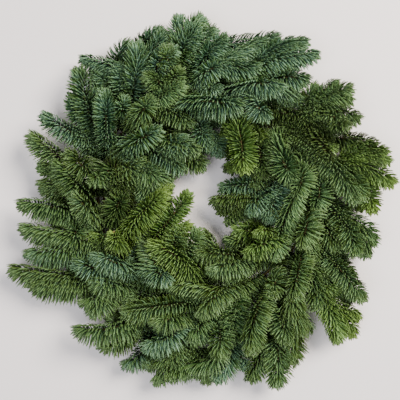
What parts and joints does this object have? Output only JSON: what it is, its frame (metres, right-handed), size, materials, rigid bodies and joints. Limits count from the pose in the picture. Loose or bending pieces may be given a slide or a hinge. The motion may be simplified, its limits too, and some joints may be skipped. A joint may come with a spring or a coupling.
{
  "type": "fresh evergreen wreath",
  "caption": "Round wreath of fresh noble fir sprays bound clockwise in layers onto a flat double-hoop wire frame, with an open middle.",
  "frame": {"origin": "middle of the wreath's outline, on the surface it lies on", "axes": "+Z out of the front of the wreath, towards the viewer; +Y towards 12 o'clock; +X towards 3 o'clock"},
  "size_m": [0.5592, 0.5426, 0.0826],
  "materials": {
    "frame_wire": "dull galvanised steel wire",
    "binding_wire": "green lacquered florist's wire",
    "fir_blue": "blue-green noble fir foliage, bloomed",
    "fir_green": "mid green noble fir foliage",
    "fir_lime": "yellow-green young noble fir foliage",
    "fir_olive": "dark olive shaded noble fir foliage"
  },
  "bodies": {
    "root": {"wire_frame": "frame_wire", "binding_wire": "binding_wire", "bunch_01_inner_spray": "fir_lime", "bunch_01_middle_spray": "fir_blue", "bunch_01_outer_spray": "fir_blue", "bunch_02_inner_spray": "fir_olive", "bunch_02_middle_spray": "fir_olive", "bunch_02_outer_spray": "fir_blue", "bunch_03_inner_spray": "fir_green", "bunch_03_middle_spray": "fir_green", "bunch_03_outer_spray": "fir_green", "bunch_04_inner_spray": "fir_blue", "bunch_04_middle_spray": "fir_green", "bunch_04_outer_spray": "fir_lime", "bunch_05_inner_spray": "fir_olive", "bunch_05_middle_spray": "fir_green", "bunch_05_outer_spray": "fir_green", "bunch_06_inner_spray": "fir_lime", "bunch_06_middle_spray": "fir_green", "bunch_06_outer_spray": "fir_green", "bunch_07_inner_spray": "fir_green", "bunch_07_middle_spray": "fir_green", "bunch_07_outer_spray": "fir_lime", "bunch_08_inner_spray": "fir_green", "bunch_08_middle_spray": "fir_green", "bunch_08_outer_spray": "fir_green", "bunch_09_inner_spray": "fir_green", "bunch_09_middle_spray": "fir_green", "bunch_09_outer_spray": "fir_blue", "bunch_10_inner_spray": "fir_lime", "bunch_10_middle_spray": "fir_blue", "bunch_10_outer_spray": "fir_green", "bunch_11_inner_spray": "fir_green", "bunch_11_middle_spray": "fir_green", "bunch_11_outer_spray": "fir_blue", "bunch_12_inner_spray": "fir_lime", "bunch_12_middle_spray": "fir_blue", "bunch_12_outer_spray": "fir_green", "bunch_13_inner_spray": "fir_lime", "bunch_13_middle_spray": "fir_green", "bunch_13_outer_spray": "fir_blue", "bunch_14_inner_spray": "fir_olive", "bunch_14_middle_spray": "fir_green", "bunch_14_outer_spray": "fir_green", "bunch_15_inner_spray": "fir_green", "bunch_15_middle_spray": "fir_green", "bunch_15_outer_spray": "fir_green", "bunch_16_inner_spray": "fir_blue", "bunch_16_middle_spray": "fir_blue", "bunch_16_outer_spray": "fir_blue", "bunch_17_inner_spray": "fir_green", "bunch_17_middle_spray": "fir_green", "bunch_17_outer_spray": "fir_blue", "bunch_18_inner_spray": "fir_blue", "bunch_18_middle_spray": "fir_blue", "bunch_18_outer_spray": "fir_blue", "bunch_19_inner_spray": "fir_blue", "bunch_19_middle_spray": "fir_blue", "bunch_19_outer_spray": "fir_blue"}
  },
  "joints": []
}
